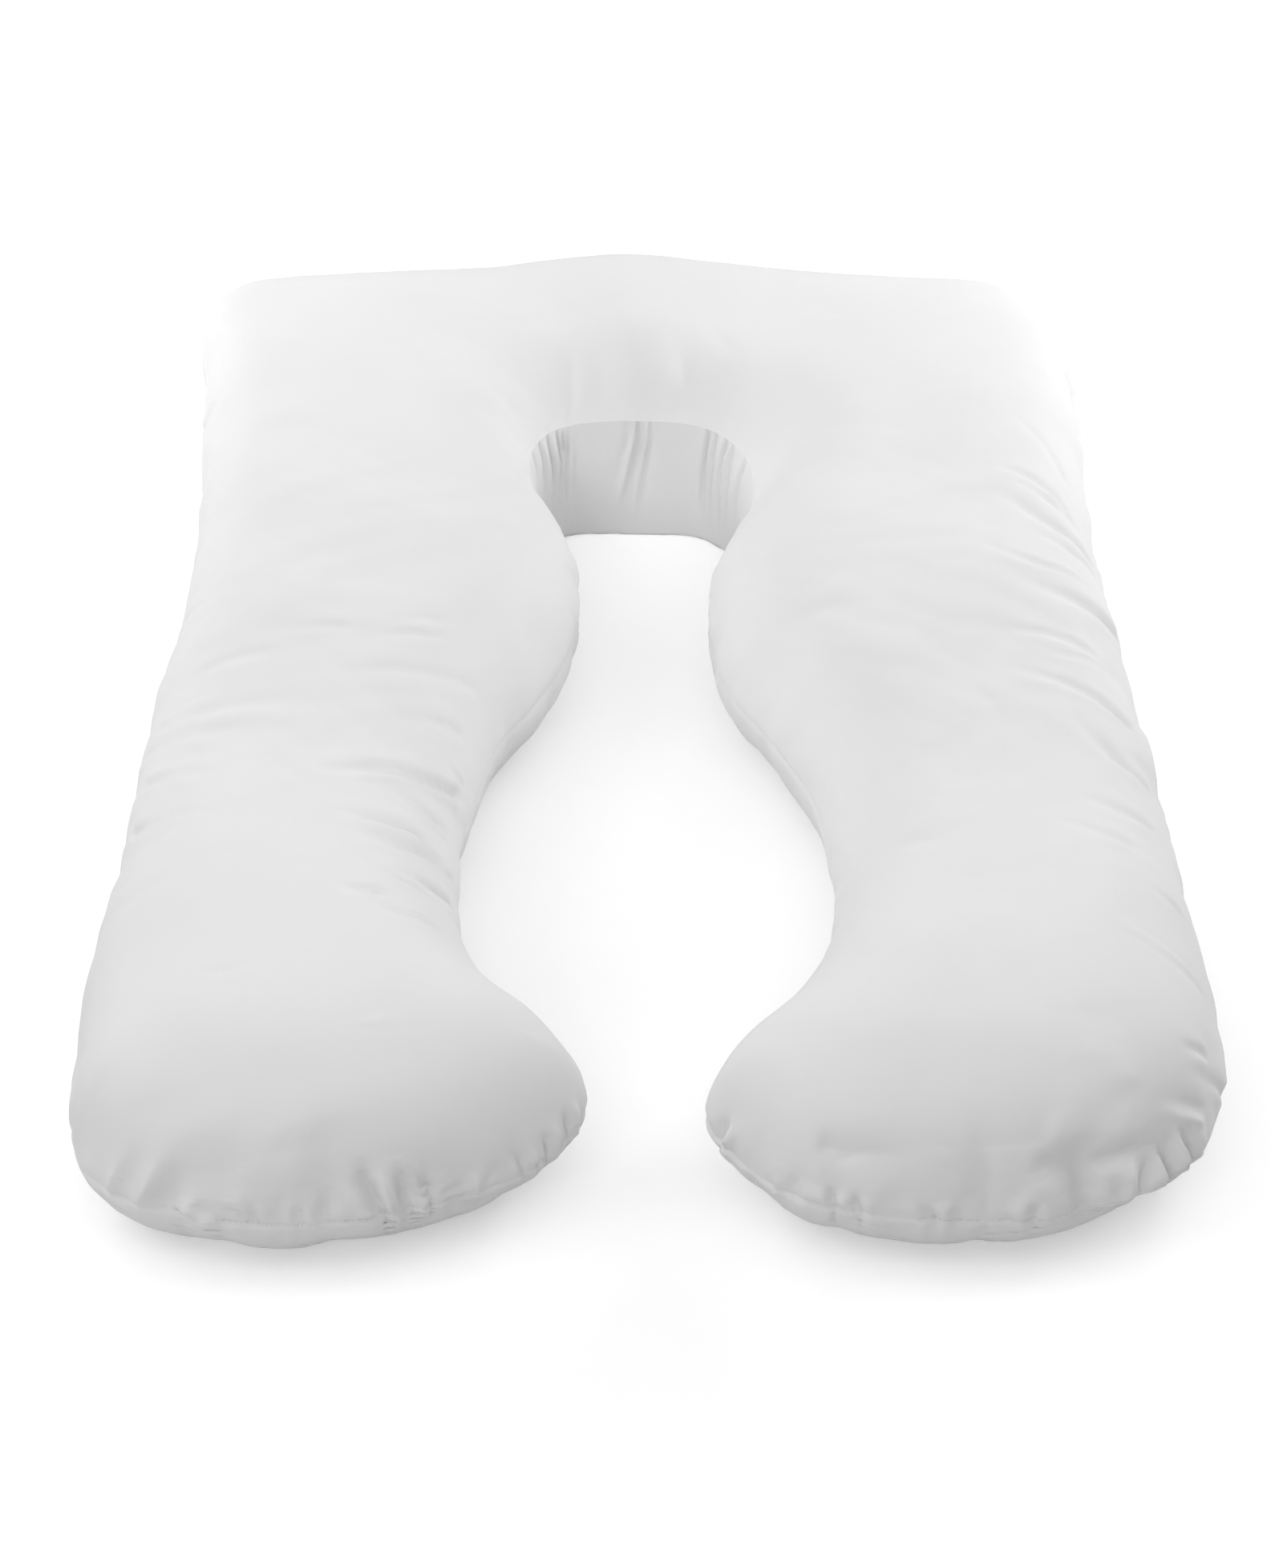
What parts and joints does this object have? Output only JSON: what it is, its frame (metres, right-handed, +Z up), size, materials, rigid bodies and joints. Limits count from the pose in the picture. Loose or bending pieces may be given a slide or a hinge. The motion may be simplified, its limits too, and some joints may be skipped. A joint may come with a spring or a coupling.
{
  "type": "body pillow",
  "caption": "U-shaped full-body pillow lying on its back, with two plump legs, a squared bar and a gap between the legs for head, belly and hips.",
  "frame": {"origin": "centre of the bounding box in plan, on the surface that the pillow rests on", "axes": "+Y from the toes of the two legs to the bar that joins them, +X to the right seen from the toes, +Z up"},
  "size_m": [0.942, 1.44, 0.189],
  "materials": {
    "cotton": "plain white woven cotton, smooth and matt"
  },
  "bodies": {
    "root": {"pillow": "cotton"}
  },
  "joints": []
}
